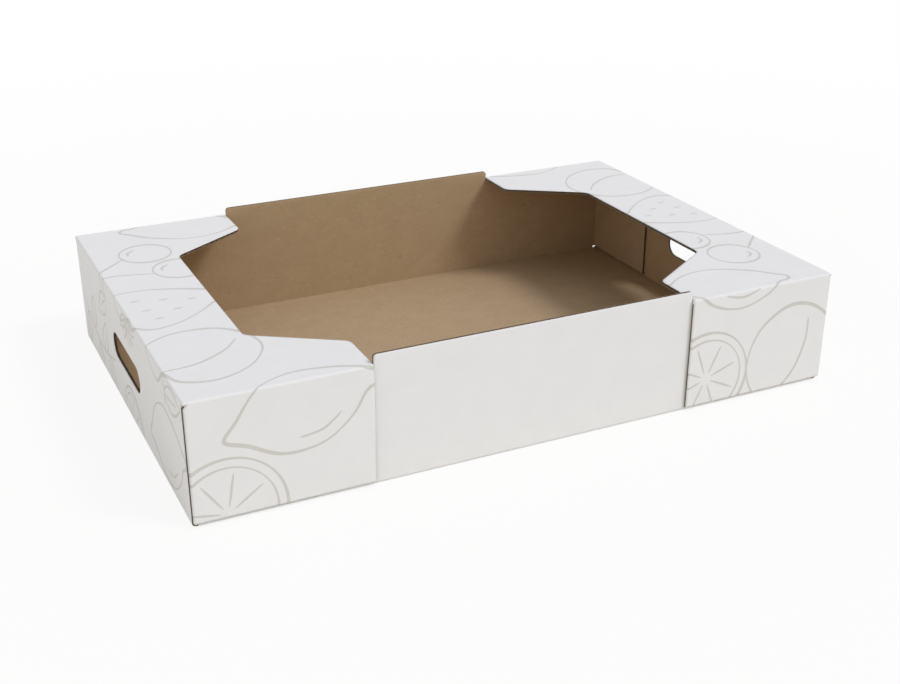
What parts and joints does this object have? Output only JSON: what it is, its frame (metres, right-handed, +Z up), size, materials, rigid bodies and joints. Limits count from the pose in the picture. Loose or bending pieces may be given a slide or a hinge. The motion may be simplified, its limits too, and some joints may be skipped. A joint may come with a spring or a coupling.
{
  "type": "corrugated cardboard tray box",
  "caption": "Open tray box folded and glued from one sheet of white-faced corrugated board, with top shelves, raised stacking edges and hand holes, for carrying produce.",
  "frame": {"origin": "middle of the base's underside, on the ground", "axes": "+X along the long walls, +Y along the end walls, +Z up"},
  "size_m": [0.6, 0.4, 0.1145],
  "materials": {
    "board": "matt white coated liner with pale line print outside, plain brown kraft liner inside, raw brown cut edges"
  },
  "bodies": {
    "root": {"folded_tray": "board"}
  },
  "joints": []
}
